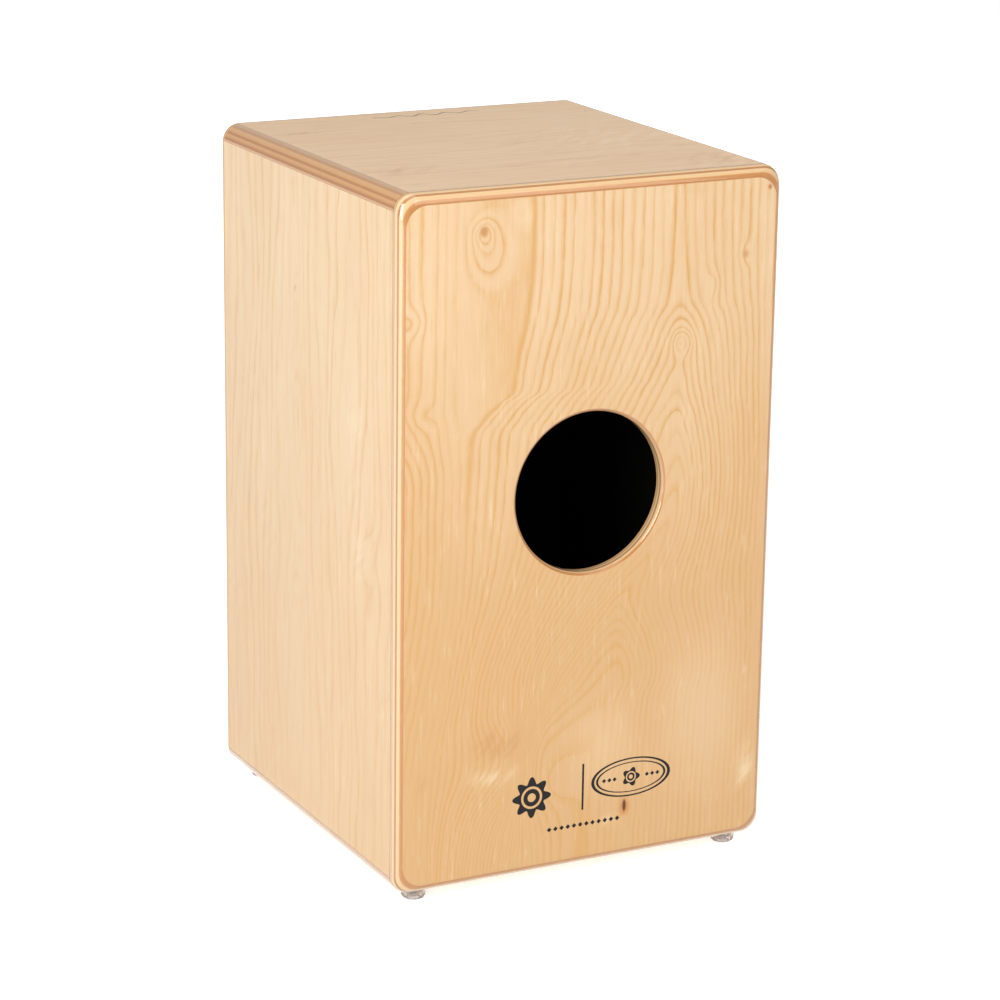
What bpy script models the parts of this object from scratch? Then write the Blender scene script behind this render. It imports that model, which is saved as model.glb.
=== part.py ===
"""A string cajon: a birch plywood box drum with a thin playing plate (tapa) in front and a round
sound hole in the back panel. Metres, +Z up. The playing face looks along -Y, left and right are
as seen by someone who faces it, and the feet stand on the plane Z = 0."""

import math

import bmesh
import bpy
from mathutils import Vector

# Body
BODY_WIDTH = 0.296
BODY_DEPTH = 0.300  # from the playing face to the back face
BODY_HEIGHT = 0.4955  # without the feet
PANEL_THICKNESS = 0.012  # seat, bottom and sides
BACK_THICKNESS = 0.009
TAPA_THICKNESS = 0.003
CORNER_ROUND = 0.013  # the body's four long edges
GAP = 0.0003  # between pieces that touch

# Back panel
BACK_ROUND_DEPTH = 0.008  # how far the rounded rim reaches forward from the back face
BACK_ROUND_SIDE = 0.0065  # how far it reaches in from the sides
BACK_ROUND_TOP = 0.0095
BACK_ROUND_BOTTOM = 0.0072
BACK_FACE_CORNER = 0.016  # corner radius of the flat face inside the rounded rim
SOUND_HOLE_DIAMETER = 0.115
SOUND_HOLE_HEIGHT = 0.276  # its centre above the body's underside
SOUND_HOLE_ROUND = 0.003
TAPA_EDGE_ROUND = 0.0008

# Feet
FOOT_HEIGHT = 0.0085
FOOT_DIAMETER = 0.018
FOOT_TAPER = 0.0004  # how much smaller the radius is at the bottom
FOOT_EDGE_ROUND = 0.0028
FOOT_INSET_SIDE = 0.022  # from the body's side to the foot's axis
FOOT_INSET_END = 0.017  # from the front or back face to the foot's axis
FOOT_BORE_DEPTH = 0.0045  # the recess that holds the screw's head
FOOT_SCREW_SHANK = 0.0035
FOOT_SCREW_HEAD = 0.0068
FOOT_SCREW_HEAD_HEIGHT = 0.0020
FOOT_SCREW_BITE = 0.009  # how far it goes into the bottom panel
FOOT_WASHER_THICKNESS = 0.0008
WASHER_RIM = 0.0007  # how far a washer reaches past its screw's head
BORE_CLEARANCE = 0.0005  # around a washer in its recess

# Screws of the playing plate
TAPA_SCREW_SHANK = 0.003
TAPA_SCREW_HEAD = 0.0056
TAPA_SCREW_HEAD_HEIGHT = 0.0016
TAPA_SCREW_LENGTH = 0.016
SIDE_SCREW_COUNT = 4
END_SCREW_COUNT = 3
SIDE_SCREW_MARGIN = 0.050  # from the seat or the underside to the nearest side screw
END_SCREW_MARGIN = 0.058  # from a side to the nearest top or bottom screw

# Shape of a pan head, as shares of the head's own size
DRIVE_WIDTH_SHARE = 0.45
DRIVE_DEPTH_SHARE = 0.6
RIM_HEIGHT_SHARE = 0.45  # height of the head's straight rim
SHOULDER_WIDTH_SHARE = 0.75
SHOULDER_HEIGHT_SHARE = 0.92

# Corner battens
BATTEN_SIZE = 0.015
BATTEN_CHAMFER = 0.006
BATTEN_END_MARGIN = 0.022  # from the batten's ends to the body's inner ends

# Strings and their tensioners
STRING_DIAMETER = 0.001
STRING_HOLE_CLEARANCE = 0.0005
STRING_BEND = 0.0013  # how far a string's bend reaches, from its plane into its hole
BALL_DIAMETER = 0.0038
BAR_HEIGHT = 0.020
BAR_DEPTH = 0.016
BAR_DROP = 0.045  # from the seat panel's underside to the bar's middle
PAIR_OFFSET = 0.055  # from the middle of the body to the middle of a pair of strings
PAIR_HALF_SPREAD_TOP = 0.030
PAIR_HALF_SPREAD_BOTTOM = 0.0085
CARRIAGE_WIDTH = 0.026
CARRIAGE_DEPTH = 0.014
CARRIAGE_HEIGHT = 0.014
CARRIAGE_RISE = 0.045  # from the bottom panel's inner face to the carriage's middle
TENSION_SHANK = 0.005
TENSION_HEAD = 0.0085
TENSION_HEAD_HEIGHT = 0.0045
TENSION_HEX = 0.004  # across the flats
TENSION_HEX_DEPTH = 0.0025
TENSION_WASHER_THICKNESS = 0.001
TENSION_WASHER_RIM = 0.0014
TENSION_SCREW_SPARE = 0.010  # how far the screw stands out above the carriage
TENSION_CHAMFER = 0.0005  # at the screw's head and tip

# Facets
CORNER_STEPS = 8
RIM_STEPS = 6
FOOT_EDGE_STEPS = 4
HOLE_SIDES = 48
FOOT_SIDES = 24
SCREW_SIDES = 12
STRING_SIDES = 8
HEX_SIDES = 6
BALL_STEPS = 5
TAPA_EDGE_STEPS = 2
TAPA_EDGE_ANGLE = 50  # only edges sharper than this are rounded, in degrees
BEND_STEPS = 3
FLAT_EDGE = 25  # an edge is shaded sharp from this angle between its faces, in degrees
TURNED_EDGE = 40
STRING_EDGE = 60
CUTTER_RUN_OUT = 0.0009  # how far the sound hole's round runs on in its cutter, past the back face

# Places that follow from the sizes
HEAD_PROUD = GAP + TAPA_SCREW_HEAD_HEIGHT
FRONT = (HEAD_PROUD - BODY_DEPTH) / 2  # the playing face
BACK = FRONT + BODY_DEPTH
SHELL_FRONT = FRONT + TAPA_THICKNESS + GAP
SHELL_BACK = BACK - BACK_THICKNESS - GAP
BACK_RIM_DEPTH = min(BACK_ROUND_DEPTH, BACK_THICKNESS - 2 * GAP)
UNDERSIDE = FOOT_HEIGHT
TOP = UNDERSIDE + BODY_HEIGHT
FLOOR_INSIDE = UNDERSIDE + PANEL_THICKNESS
CEILING_INSIDE = TOP - PANEL_THICKNESS
HALF_WIDTH = BODY_WIDTH / 2
HALF_INSIDE = HALF_WIDTH - PANEL_THICKNESS
STRING_PLANE = SHELL_FRONT + STRING_DIAMETER / 2
HOLDER_FRONT = STRING_PLANE + STRING_DIAMETER / 2 + GAP  # front of the bar and of the carriages
BAR_MIDDLE = CEILING_INSIDE - BAR_DROP
CARRIAGE_MIDDLE = FLOOR_INSIDE + CARRIAGE_RISE
TENSION_AXIS = HOLDER_FRONT + CARRIAGE_DEPTH / 2
TENSION_WASHER_DIAMETER = TENSION_HEAD + 2 * TENSION_WASHER_RIM
TENSION_BORE_DEPTH = TENSION_HEAD_HEIGHT + TENSION_WASHER_THICKNESS + 3 * GAP
FOOT_WASHER_DIAMETER = FOOT_SCREW_HEAD + 2 * WASHER_RIM
SIDES = {"left": -1, "right": 1}
ENDS = {"front": -1, "back": 1}


def clear_scene():
    for old in list(bpy.data.objects):
        bpy.data.objects.remove(old, do_unlink=True)


def material(name, colour, roughness, metallic=0.0):
    made = bpy.data.materials.new(name)
    made.use_nodes = True
    shader = made.node_tree.nodes["Principled BSDF"]
    shader.inputs["Base Color"].default_value = (*colour, 1.0)
    shader.inputs["Roughness"].default_value = roughness
    shader.inputs["Metallic"].default_value = metallic
    made.diffuse_color = (*colour, 1.0)
    return made


def finished(name, bm, finish=None, smooth_angle=None, origin=(0, 0, 0)):
    """The object of a closed mesh, with its faces pointing out and its origin where it is asked."""
    bmesh.ops.recalc_face_normals(bm, faces=bm.faces)
    bmesh.ops.translate(bm, verts=bm.verts, vec=-Vector(origin))
    mesh = bpy.data.meshes.new(name)
    bm.to_mesh(mesh)
    bm.free()
    if smooth_angle is not None:
        mesh.shade_smooth()
        mesh.set_sharp_from_angle(angle=math.radians(smooth_angle))
    if finish is not None:
        mesh.materials.append(finish)
    made = bpy.data.objects.new(name, mesh)
    made.location = origin
    bpy.context.scene.collection.objects.link(made)
    return made


def lofted(bm, loops):
    """Skins equal closed loops of points in order and caps both ends."""
    rings = [[bm.verts.new(point) for point in loop] for loop in loops]
    count = len(rings[0])
    for lower, upper in zip(rings, rings[1:]):
        for i in range(count):
            j = (i + 1) % count
            bm.faces.new((lower[i], lower[j], upper[j], upper[i]))
    bm.faces.new(rings[0])
    bm.faces.new(reversed(rings[-1]))


def turned(bm, profile, centre, axis, sides):
    """A solid of revolution. The profile is (radius, distance along the axis) points around its
    section, and a radius of zero makes a tip on the axis."""
    along = Vector(axis).normalized()
    across = along.orthogonal().normalized()
    third = along.cross(across)
    rings = []
    for radius, distance in profile:
        middle = Vector(centre) + along * distance
        if radius == 0:
            rings.append([bm.verts.new(middle)])
            continue
        ring = []
        for i in range(sides):
            turn = math.tau * i / sides
            outward = math.cos(turn) * across + math.sin(turn) * third
            ring.append(bm.verts.new(middle + radius * outward))
        rings.append(ring)
    closed = profile[0][0] != 0
    pairs = zip(rings, rings[1:] + rings[:1]) if closed else zip(rings, rings[1:])
    for first, second in pairs:
        for i in range(sides):
            j = (i + 1) % sides
            corners = [first[k % len(first)] for k in (i, j)]
            corners += [second[k % len(second)] for k in (j, i)]
            bm.faces.new(list(dict.fromkeys(corners)))


def rod(bm, start, end, radius, sides):
    """A plain cylinder from one point to another."""
    axis = Vector(end) - Vector(start)
    turned(bm, [(0, 0), (radius, 0), (radius, axis.length), (0, axis.length)], start, axis, sides)


def cut(target, cutter):
    made = target.modifiers.new(cutter.name, "BOOLEAN")
    made.operation = "DIFFERENCE"
    made.solver = "EXACT"
    made.object = cutter


def as_cutter(made):
    made.hide_render = True
    made.display_type = "WIRE"
    return made


def arc(centre, radii, start, end, steps):
    """Points of an elliptic arc, with its angles in degrees."""
    points = []
    for i in range(steps + 1):
        turn = math.radians(start + (end - start) * i / steps)
        points.append((centre[0] + radii[0] * math.cos(turn), centre[1] + radii[1] * math.sin(turn)))
    return points


def rounded_outline(half_width, low, high, radius):
    """An upright rectangle with round corners, as (x, z) points."""
    right = half_width - radius
    points = []
    corners = ((right, high), (-right, high), (-right, low), (right, low))
    for i, (x, z) in enumerate(corners):
        middle = z - radius if z == high else z + radius
        points += arc((x, middle), (radius, radius), 90 * i, 90 * (i + 1), CORNER_STEPS)
    return points


def clipped(points, direction, limit):
    """What lies on the near side of a line: direction dot point <= limit."""
    kept = []
    for i, here in enumerate(points):
        before = points[i - 1]
        reach_here = here[0] * direction[0] + here[1] * direction[1] - limit
        reach_before = before[0] * direction[0] + before[1] * direction[1] - limit
        if (reach_here > 0) != (reach_before > 0):
            share = reach_before / (reach_before - reach_here)
            kept.append(tuple(b + (h - b) * share for b, h in zip(before, here)))
        if reach_here <= 0:
            kept.append(here)
    return kept


def plate(name, outline, front, back, finish):
    """An outline of (x, z) points as a solid between two places along Y."""
    bm = bmesh.new()
    lofted(bm, [[(x, y, z) for x, z in outline] for y in (front, back)])
    return finished(name, bm, finish, smooth_angle=FLAT_EDGE)


def body_outline():
    return rounded_outline(HALF_WIDTH, UNDERSIDE, TOP, CORNER_ROUND)


def make_shell(wood):
    """Seat and bottom lie over the ends of the side panels."""
    whole = body_outline()
    seat = plate("seat_panel", clipped(whole, (0, -1), -CEILING_INSIDE), SHELL_FRONT, SHELL_BACK, wood)
    bottom = plate("bottom_panel", clipped(whole, (0, 1), FLOOR_INSIDE), SHELL_FRONT, SHELL_BACK, wood)
    between = clipped(clipped(whole, (0, 1), CEILING_INSIDE - GAP), (0, -1), -(FLOOR_INSIDE + GAP))
    sides = []
    for side, sign in SIDES.items():
        outline = clipped(between, (-sign, 0), -HALF_INSIDE)
        sides.append(plate(f"{side}_side_panel", outline, SHELL_FRONT, SHELL_BACK, wood))
    return seat, bottom, sides


def back_rim_loop(turn):
    """The back panel's outline where its rounded rim has turned this many degrees from the face."""
    inward = 1 - math.sin(math.radians(turn))
    depth = BACK_RIM_DEPTH * (1 - math.cos(math.radians(turn)))
    radius = CORNER_ROUND + (BACK_FACE_CORNER - CORNER_ROUND) * inward
    outline = rounded_outline(
        HALF_WIDTH - BACK_ROUND_SIDE * inward,
        UNDERSIDE + BACK_ROUND_BOTTOM * inward,
        TOP - BACK_ROUND_TOP * inward,
        radius,
    )
    return [(x, BACK - depth, z) for x, z in outline]


def sound_hole_cutter():
    """A round hole whose outer edge is rounded. The round's last facet runs on past the back face."""
    radius = SOUND_HOLE_DIAMETER / 2
    rounding = min(SOUND_HOLE_ROUND, BACK_THICKNESS - 2 * GAP)
    edge = arc((radius + rounding, -rounding), (rounding, rounding), 180, 90, RIM_STEPS)
    (last_radius, last_height), (rim_radius, rim_height) = edge[-2:]
    slope = (rim_radius - last_radius) / (rim_height - last_height)
    widest = rim_radius + slope * CUTTER_RUN_OUT
    inside = -2 * BACK_THICKNESS
    profile = [(0, inside), (radius, inside), *edge[:-1]]
    profile += [(widest, CUTTER_RUN_OUT), (widest, BACK_THICKNESS), (0, BACK_THICKNESS)]
    bm = bmesh.new()
    turned(bm, profile, (0, BACK, UNDERSIDE + SOUND_HOLE_HEIGHT), (0, 1, 0), HOLE_SIDES)
    return as_cutter(finished("sound_hole_cutter", bm))


def make_back_panel(wood):
    bm = bmesh.new()
    inner = [(x, BACK - BACK_THICKNESS, z) for x, z in body_outline()]
    rim = [back_rim_loop(90 - 90 * i / RIM_STEPS) for i in range(RIM_STEPS + 1)]
    lofted(bm, [inner, *rim])
    panel = finished("back_panel", bm, wood, smooth_angle=FLAT_EDGE)
    cut(panel, sound_hole_cutter())
    return panel


def make_tapa(veneer):
    tapa = plate("tapa", body_outline(), FRONT, FRONT + TAPA_THICKNESS, veneer)
    bevel = tapa.modifiers.new("rounded_edge", "BEVEL")
    bevel.width = TAPA_EDGE_ROUND
    bevel.segments = TAPA_EDGE_STEPS
    bevel.limit_method = "ANGLE"
    bevel.angle_limit = math.radians(TAPA_EDGE_ANGLE)
    return tapa


def spread(first, last, count):
    return [first + (last - first) * i / (count - 1) for i in range(count)]


def tapa_screw_places():
    """Names and (x, z) of the screws, in the middle of each panel's front edge."""
    places = {}
    heights = spread(UNDERSIDE + SIDE_SCREW_MARGIN, TOP - SIDE_SCREW_MARGIN, SIDE_SCREW_COUNT)
    across = spread(END_SCREW_MARGIN - HALF_WIDTH, HALF_WIDTH - END_SCREW_MARGIN, END_SCREW_COUNT)
    for side, sign in SIDES.items():
        for i, z in enumerate(heights):
            places[f"tapa_screw_{side}_{i + 1}"] = (sign * (HALF_WIDTH - PANEL_THICKNESS / 2), z)
    for i, x in enumerate(across):
        places[f"tapa_screw_bottom_{i + 1}"] = (x, UNDERSIDE + PANEL_THICKNESS / 2)
        places[f"tapa_screw_top_{i + 1}"] = (x, TOP - PANEL_THICKNESS / 2)
    return places


def pan_screw(name, seat, axis, shank, head, head_height, length, finish):
    """A pan-head screw. Seat is the middle of the head's underside, axis points to the tip."""
    recess_bottom = head_height * (1 - DRIVE_DEPTH_SHARE)
    profile = [
        (0, -recess_bottom),
        (head / 2 * DRIVE_WIDTH_SHARE, -head_height),
        (head / 2 * SHOULDER_WIDTH_SHARE, -head_height * SHOULDER_HEIGHT_SHARE),
        (head / 2, -head_height * RIM_HEIGHT_SHARE),
        (head / 2, 0),
        (shank / 2, 0),
        (shank / 2, length - shank),
        (0, length),
    ]
    bm = bmesh.new()
    turned(bm, profile, seat, axis, SCREW_SIDES)
    return finished(name, bm, finish, smooth_angle=TURNED_EDGE, origin=seat)


def make_tapa_screws(targets, steel):
    """The screws and one cutter with all their holes, for the plate and the panels behind it."""
    bm = bmesh.new()
    radius = TAPA_SCREW_SHANK / 2 + GAP
    for name, (x, z) in tapa_screw_places().items():
        seat = (x, FRONT - GAP, z)
        pan_screw(
            name, seat, (0, 1, 0), TAPA_SCREW_SHANK, TAPA_SCREW_HEAD, TAPA_SCREW_HEAD_HEIGHT,
            TAPA_SCREW_LENGTH, steel,
        )
        deep = seat[1] + TAPA_SCREW_LENGTH + 2 * GAP
        rod(bm, (x, FRONT - TAPA_THICKNESS, z), (x, deep, z), radius, SCREW_SIDES)
    holes = as_cutter(finished("tapa_screw_holes", bm))
    for target in targets:
        cut(target, holes)


def washer(name, centre, inner, outer, thickness, finish):
    """A flat ring, with centre in the middle of its lower face."""
    profile = [(inner / 2, 0), (outer / 2, 0), (outer / 2, thickness), (inner / 2, thickness)]
    bm = bmesh.new()
    turned(bm, profile, centre, (0, 0, 1), SCREW_SIDES * 2)
    return finished(name, bm, finish, smooth_angle=TURNED_EDGE, origin=centre)


def make_feet(bottom_panel, rubber, steel):
    """Each foot is a bumper with a screw and a washer recessed in it."""
    height = FOOT_HEIGHT - GAP
    radius = FOOT_DIAMETER / 2
    foot_radius = radius - FOOT_TAPER
    bore = FOOT_WASHER_DIAMETER / 2 + BORE_CLEARANCE
    hole = FOOT_SCREW_SHANK / 2 + GAP
    rounding = FOOT_EDGE_ROUND
    edge = arc((foot_radius - rounding, rounding), (rounding, rounding), -90, 0, FOOT_EDGE_STEPS)
    profile = [(bore, 0), *edge, (radius, height), (hole, height)]
    profile += [(hole, FOOT_BORE_DEPTH), (bore, FOOT_BORE_DEPTH)]
    washer_low = FOOT_BORE_DEPTH - GAP - FOOT_WASHER_THICKNESS
    head_seat = washer_low - GAP
    screw_length = UNDERSIDE + FOOT_SCREW_BITE - head_seat
    pilots = bmesh.new()
    for end, end_sign in ENDS.items():
        y = (FRONT + FOOT_INSET_END) if end_sign < 0 else (BACK - FOOT_INSET_END)
        for side, sign in SIDES.items():
            x = sign * (HALF_WIDTH - FOOT_INSET_SIDE)
            bm = bmesh.new()
            turned(bm, profile, (x, y, 0), (0, 0, 1), FOOT_SIDES)
            finished(f"foot_{end}_{side}", bm, rubber, smooth_angle=TURNED_EDGE, origin=(x, y, 0))
            washer(
                f"foot_washer_{end}_{side}", (x, y, washer_low), 2 * hole, FOOT_WASHER_DIAMETER,
                FOOT_WASHER_THICKNESS, steel,
            )
            pan_screw(
                f"foot_screw_{end}_{side}", (x, y, head_seat), (0, 0, 1), FOOT_SCREW_SHANK,
                FOOT_SCREW_HEAD, FOOT_SCREW_HEAD_HEIGHT, screw_length, steel,
            )
            tip = head_seat + screw_length + 2 * GAP
            rod(pilots, (x, y, 0), (x, y, tip), hole, SCREW_SIDES)
    cut(bottom_panel, as_cutter(finished("foot_screw_pilots", pilots)))


def make_battens(wood):
    """Glue blocks along the four inner corners, with the free edge chamfered."""
    for level, up in (("bottom", 1), ("top", -1)):
        z = FLOOR_INSIDE + GAP if up > 0 else CEILING_INSIDE - GAP
        for side, sign in SIDES.items():
            x = sign * (HALF_INSIDE - GAP)
            plain = BATTEN_SIZE - BATTEN_CHAMFER
            section = [(0, 0), (BATTEN_SIZE, 0), (BATTEN_SIZE, plain)]
            section += [(plain, BATTEN_SIZE), (0, BATTEN_SIZE)]
            outline = [(x - sign * across, z + up * rise) for across, rise in section]
            front = HOLDER_FRONT + BATTEN_END_MARGIN
            plate(f"batten_{level}_{side}", outline, front, SHELL_BACK - BATTEN_END_MARGIN, wood)


def block(name, low, high, finish):
    bm = bmesh.new()
    corners = [(low[0], low[2]), (high[0], low[2]), (high[0], high[2]), (low[0], high[2])]
    lofted(bm, [[(x, y, z) for x, z in corners] for y in (low[1], high[1])])
    return finished(name, bm, finish)


def string_holes(name, middles, height, depth):
    """A cutter with the holes that the strings pass through from front to back."""
    bm = bmesh.new()
    radius = STRING_DIAMETER / 2 + STRING_HOLE_CLEARANCE
    for x in middles:
        start = (x, HOLDER_FRONT - BALL_DIAMETER, height)
        rod(bm, start, (x, HOLDER_FRONT + depth + BALL_DIAMETER, height), radius, SCREW_SIDES)
    return as_cutter(finished(name, bm))


def pair_middles():
    return {side: sign * PAIR_OFFSET for side, sign in SIDES.items()}


def make_string_bar(wood):
    reach = HALF_INSIDE - GAP
    low = (-reach, HOLDER_FRONT, BAR_MIDDLE - BAR_HEIGHT / 2)
    high = (reach, HOLDER_FRONT + BAR_DEPTH, BAR_MIDDLE + BAR_HEIGHT / 2)
    bar = block("string_bar", low, high, wood)
    legs = (-PAIR_HALF_SPREAD_TOP, PAIR_HALF_SPREAD_TOP)
    middles = [x + leg for x in pair_middles().values() for leg in legs]
    cut(bar, string_holes("string_bar_holes", middles, BAR_MIDDLE, BAR_DEPTH))
    return bar


def string_path(x_low, x_high):
    """Points and radii from the ball behind the carriage to the ball behind the bar."""
    wire = STRING_DIAMETER / 2
    ball = BALL_DIAMETER / 2

    def end_points(x, height, depth, up):
        """From the far side of the ball to the end of the bend, where the free string starts."""
        ball_middle = HOLDER_FRONT + depth + GAP + ball
        points = []
        exit_turn = math.degrees(math.asin(wire / ball))
        for i in range(1, BALL_STEPS + 1):
            turn = math.radians((180 - exit_turn) * i / BALL_STEPS)
            points.append(((x, ball_middle + ball * math.cos(turn), height), ball * math.sin(turn)))
        for i in range(BEND_STEPS + 1):
            turn = math.radians(90 * i / BEND_STEPS)
            y = STRING_PLANE + STRING_BEND * (1 - math.sin(turn))
            z = height + up * STRING_BEND * (1 - math.cos(turn))
            points.append(((x, y, z), wire))
        tip = (x, ball_middle + ball, height)
        return tip, points

    low_tip, low = end_points(x_low, CARRIAGE_MIDDLE, CARRIAGE_DEPTH, 1)
    high_tip, high = end_points(x_high, BAR_MIDDLE, BAR_DEPTH, -1)
    return low_tip, low + high[::-1], high_tip


def make_string(name, x_low, x_high, finish):
    """A wound string with a ball at each end, swept along its path as rings."""
    low_tip, path, high_tip = string_path(x_low, x_high)
    centres = [Vector(point) for point, _ in path]
    bm = bmesh.new()
    rings = []
    sideways = Vector((1, 0, 0))
    for i, (centre, (_, radius)) in enumerate(zip(centres, path)):
        before = centres[i - 1] if i else Vector(low_tip)
        after = centres[i + 1] if i + 1 < len(centres) else Vector(high_tip)
        along = ((after - centre).normalized() + (centre - before).normalized()).normalized()
        across = (sideways - along * sideways.dot(along)).normalized()
        third = along.cross(across)
        ring = []
        for k in range(STRING_SIDES):
            turn = math.tau * k / STRING_SIDES
            outward = math.cos(turn) * across + math.sin(turn) * third
            ring.append(bm.verts.new(centre + radius * outward))
        rings.append(ring)
    for lower, upper in zip(rings, rings[1:]):
        for k in range(STRING_SIDES):
            n = (k + 1) % STRING_SIDES
            bm.faces.new((lower[k], lower[n], upper[n], upper[k]))
    for tip, ring in ((low_tip, rings[0]), (high_tip, rings[-1])):
        point = bm.verts.new(tip)
        for k in range(STRING_SIDES):
            bm.faces.new((ring[k], ring[(k + 1) % STRING_SIDES], point))
    return finished(name, bm, finish, smooth_angle=STRING_EDGE, origin=(x_high, STRING_PLANE, BAR_MIDDLE))


def make_strings(bronze):
    for side, middle in pair_middles().items():
        for leg, sign in SIDES.items():
            low = middle + sign * PAIR_HALF_SPREAD_BOTTOM
            high = middle + sign * PAIR_HALF_SPREAD_TOP
            make_string(f"string_{side}_pair_{leg}", low, high, bronze)


def tension_screw(name, x, finish):
    """A socket-head screw that turns on the axis of its pair's carriage."""
    seat_height = UNDERSIDE + TENSION_HEAD_HEIGHT + GAP
    seat = (x, TENSION_AXIS, seat_height)
    length = CARRIAGE_MIDDLE + CARRIAGE_HEIGHT / 2 + TENSION_SCREW_SPARE - seat_height
    head = TENSION_HEAD / 2
    shank = TENSION_SHANK / 2
    profile = [
        (0, -TENSION_HEAD_HEIGHT),
        (head - TENSION_CHAMFER, -TENSION_HEAD_HEIGHT),
        (head, TENSION_CHAMFER - TENSION_HEAD_HEIGHT),
        (head, 0),
        (shank, 0),
        (shank, length - TENSION_CHAMFER),
        (shank - TENSION_CHAMFER, length),
        (0, length),
    ]
    bm = bmesh.new()
    turned(bm, profile, seat, (0, 0, 1), FOOT_SIDES)
    screw = finished(name, bm, finish, smooth_angle=TURNED_EDGE, origin=seat)
    bm = bmesh.new()
    head_end = seat_height - TENSION_HEAD_HEIGHT
    socket_ends = [(x, TENSION_AXIS, head_end + reach) for reach in (-TENSION_HEX_DEPTH, TENSION_HEX_DEPTH)]
    rod(bm, *socket_ends, TENSION_HEX / math.sqrt(3), HEX_SIDES)
    cut(screw, as_cutter(finished(f"{name}_socket", bm)))
    return screw


def make_tensioners(bottom_panel, steel, brass):
    """Each pair has a screw held in the bottom panel and a carriage that the screw pulls down."""
    bores = bmesh.new()
    shank_hole = TENSION_SHANK / 2 + GAP
    bore = TENSION_WASHER_DIAMETER / 2 + BORE_CLEARANCE
    roof = UNDERSIDE + TENSION_BORE_DEPTH
    for side, x in pair_middles().items():
        tension_screw(f"tension_screw_{side}", x, steel)
        washer(
            f"tension_washer_{side}", (x, TENSION_AXIS, roof - GAP - TENSION_WASHER_THICKNESS),
            2 * shank_hole, TENSION_WASHER_DIAMETER, TENSION_WASHER_THICKNESS, steel,
        )
        half = CARRIAGE_WIDTH / 2
        low = (x - half, HOLDER_FRONT, CARRIAGE_MIDDLE - CARRIAGE_HEIGHT / 2)
        high = (x + half, HOLDER_FRONT + CARRIAGE_DEPTH, CARRIAGE_MIDDLE + CARRIAGE_HEIGHT / 2)
        carriage = block(f"tension_carriage_{side}", low, high, brass)
        legs = [x - PAIR_HALF_SPREAD_BOTTOM, x + PAIR_HALF_SPREAD_BOTTOM]
        cut(carriage, string_holes(f"carriage_holes_{side}", legs, CARRIAGE_MIDDLE, CARRIAGE_DEPTH))
        bm = bmesh.new()
        ends = [(x, TENSION_AXIS, CARRIAGE_MIDDLE + reach) for reach in (-CARRIAGE_HEIGHT, CARRIAGE_HEIGHT)]
        rod(bm, *ends, shank_hole, FOOT_SIDES)
        cut(carriage, as_cutter(finished(f"carriage_bore_{side}", bm)))
        below = UNDERSIDE - TENSION_BORE_DEPTH
        above = FLOOR_INSIDE + TENSION_BORE_DEPTH
        profile = [(0, below), (bore, below), (bore, roof)]
        profile += [(shank_hole, roof), (shank_hole, above), (0, above)]
        turned(bores, profile, (x, TENSION_AXIS, 0), (0, 0, 1), FOOT_SIDES)
    cut(bottom_panel, as_cutter(finished("tension_bores", bores)))


def main():
    clear_scene()
    birch = material("birch_plywood", (0.86, 0.68, 0.45), 0.38)
    veneer = material("tapa_veneer", (0.80, 0.58, 0.36), 0.36)
    pine = material("inner_wood", (0.74, 0.56, 0.36), 0.6)
    rubber = material("clear_bumper", (0.42, 0.35, 0.31), 0.3)
    zinc = material("zinc_steel", (0.62, 0.62, 0.60), 0.3, 1.0)
    black_steel = material("black_steel", (0.05, 0.05, 0.05), 0.4, 1.0)
    brass = material("brass", (0.78, 0.62, 0.32), 0.3, 1.0)
    bronze = material("wound_bronze", (0.66, 0.46, 0.26), 0.35, 1.0)

    seat, bottom, sides = make_shell(birch)
    make_back_panel(birch)
    tapa = make_tapa(veneer)
    make_tapa_screws([tapa, seat, bottom, *sides], black_steel)
    make_feet(bottom, rubber, zinc)
    make_battens(pine)
    make_string_bar(pine)
    make_strings(bronze)
    make_tensioners(bottom, zinc, brass)


main()
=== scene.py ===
"""Looks of the string cajon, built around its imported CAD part. Metres, +Z up. The playing face
looks along -Y and the back panel, with the sound hole, along +Y."""

import math

import bmesh
import bpy
from mathutils import Matrix, Vector


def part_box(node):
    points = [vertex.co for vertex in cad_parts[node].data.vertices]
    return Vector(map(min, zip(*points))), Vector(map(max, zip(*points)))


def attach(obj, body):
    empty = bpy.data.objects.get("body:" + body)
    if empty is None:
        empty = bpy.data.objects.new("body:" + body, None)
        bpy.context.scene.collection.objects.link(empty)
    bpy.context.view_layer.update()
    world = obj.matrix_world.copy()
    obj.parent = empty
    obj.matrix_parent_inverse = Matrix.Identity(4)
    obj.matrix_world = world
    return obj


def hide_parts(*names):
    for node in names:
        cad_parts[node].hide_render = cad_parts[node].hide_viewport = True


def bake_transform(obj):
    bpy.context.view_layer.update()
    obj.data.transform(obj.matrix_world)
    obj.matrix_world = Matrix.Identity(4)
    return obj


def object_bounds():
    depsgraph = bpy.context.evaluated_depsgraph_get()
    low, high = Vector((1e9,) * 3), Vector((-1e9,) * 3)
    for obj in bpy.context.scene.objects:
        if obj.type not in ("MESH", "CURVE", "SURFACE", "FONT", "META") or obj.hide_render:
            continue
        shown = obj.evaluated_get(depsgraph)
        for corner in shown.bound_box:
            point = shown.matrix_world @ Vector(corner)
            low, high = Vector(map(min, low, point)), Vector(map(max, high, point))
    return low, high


MM = 0.001
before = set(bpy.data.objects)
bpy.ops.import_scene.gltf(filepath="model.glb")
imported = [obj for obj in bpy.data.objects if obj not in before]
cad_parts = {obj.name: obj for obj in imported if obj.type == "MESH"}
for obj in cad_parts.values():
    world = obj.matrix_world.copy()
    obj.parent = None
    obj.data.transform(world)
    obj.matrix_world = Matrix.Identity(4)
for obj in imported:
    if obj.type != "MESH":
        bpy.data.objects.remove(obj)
cad_low, cad_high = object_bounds()

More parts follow.
